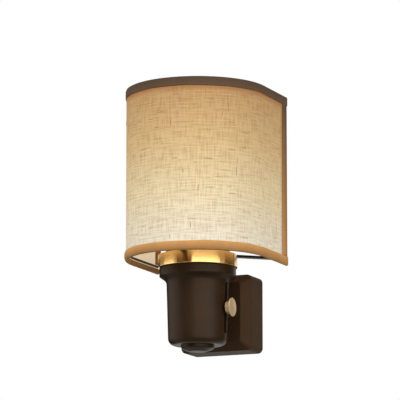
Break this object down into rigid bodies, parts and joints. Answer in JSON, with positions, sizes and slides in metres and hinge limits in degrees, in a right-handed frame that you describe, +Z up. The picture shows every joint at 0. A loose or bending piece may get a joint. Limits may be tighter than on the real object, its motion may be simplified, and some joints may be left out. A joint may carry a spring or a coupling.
{
  "type": "plug in night light",
  "caption": "Plug-in wall lamp with a half-round linen shade, brass collar, tapered black body with a slide dimmer, and a square two-blade plug block.",
  "frame": {"origin": "centre of the square back face, between the two blades of the plug", "axes": "+Z up, +Y back along the blades, +X to the right seen from the front"},
  "size_m": [0.0824, 0.102, 0.1507],
  "materials": {
    "moulded_black": "fine matt moulded",
    "phenolic": "dull moulded",
    "white_moulding": "satin",
    "ivory_knob": "satin moulded",
    "brushed_brass": "brushed round the ring, clear lacquer",
    "plain_brass": "drawn",
    "plated_blade": "nickel plated",
    "zinc_steel": "zinc plated",
    "frame_wire": "black enamel",
    "linen": "slubbed plain weave",
    "shade_backing": "translucent sheet",
    "trim_tape": "folded binding tape",
    "frosted_glass": "frosted",
    "warm_emitter": "phosphor coated",
    "black_glass": "vitrite",
    "circuit_board": "solder mask",
    "lead_black": "insulation",
    "lead_white": "insulation"
  },
  "bodies": {
    "lamp": {"plug_block": "moulded_black", "back_plate": "moulded_black", "plate_screws": "zinc_steel", "blade_neutral": "plated_blade", "blade_live": "plated_blade", "blade_carrier": "phenolic", "neck_spacer": "moulded_black", "neck_tube": "zinc_steel", "block_nut": "zinc_steel", "body_nut": "zinc_steel", "body_shell": "moulded_black", "bottom_cap": "moulded_black", "lamp_tube": "zinc_steel", "tube_nut": "zinc_steel", "dimmer_board": "circuit_board", "dimmer_track": "phenolic", "brass_collar": "brushed_brass", "top_cap": "white_moulding", "lampholder": "phenolic", "screw_shell": "plain_brass", "centre_contact": "plain_brass", "lead_neutral": "lead_white", "lead_live": "lead_black", "lead_dimmed": "lead_black"},
    "slider": {"dimmer_carriage": "phenolic", "dimmer_knob": "ivory_knob"},
    "bulb": {"bulb_cap": "plated_blade", "bulb_insulator": "black_glass", "bulb_tip": "zinc_steel", "bulb_glass": "frosted_glass", "bulb_stem": "warm_emitter"},
    "shade": {"shade_spider": "frame_wire", "hoop_bottom": "frame_wire", "hoop_top": "frame_wire", "upright_left": "frame_wire", "upright_right": "frame_wire", "shade_liner": "shade_backing", "shade_linen": "linen", "tape_bottom": "trim_tape", "tape_top": "trim_tape", "tape_left": "trim_tape", "tape_right": "trim_tape"},
    "ring": {"retaining_ring": "phenolic"}
  },
  "joints": [
    {"name": "dimmer_slide", "type": "slide", "parent": "lamp", "child": "slider", "axis": [0, 0, 1], "range_m": [-0.0115, 0.0115]},
    {"name": "bulb_turn", "type": "hinge", "parent": "lamp", "child": "bulb", "pos_m": [0, -0.0438, 0.03], "axis": [0, 0, 1], "range_deg": [0, 1080]},
    {"name": "shade_lift", "type": "slide", "parent": "lamp", "child": "shade", "axis": [0, 0, 1], "range_m": [0, 0.05]},
    {"name": "ring_turn", "type": "hinge", "parent": "shade", "child": "ring", "pos_m": [0, -0.0438, 0.033], "axis": [0, 0, 1], "range_deg": [0, 1080]}
  ]
}
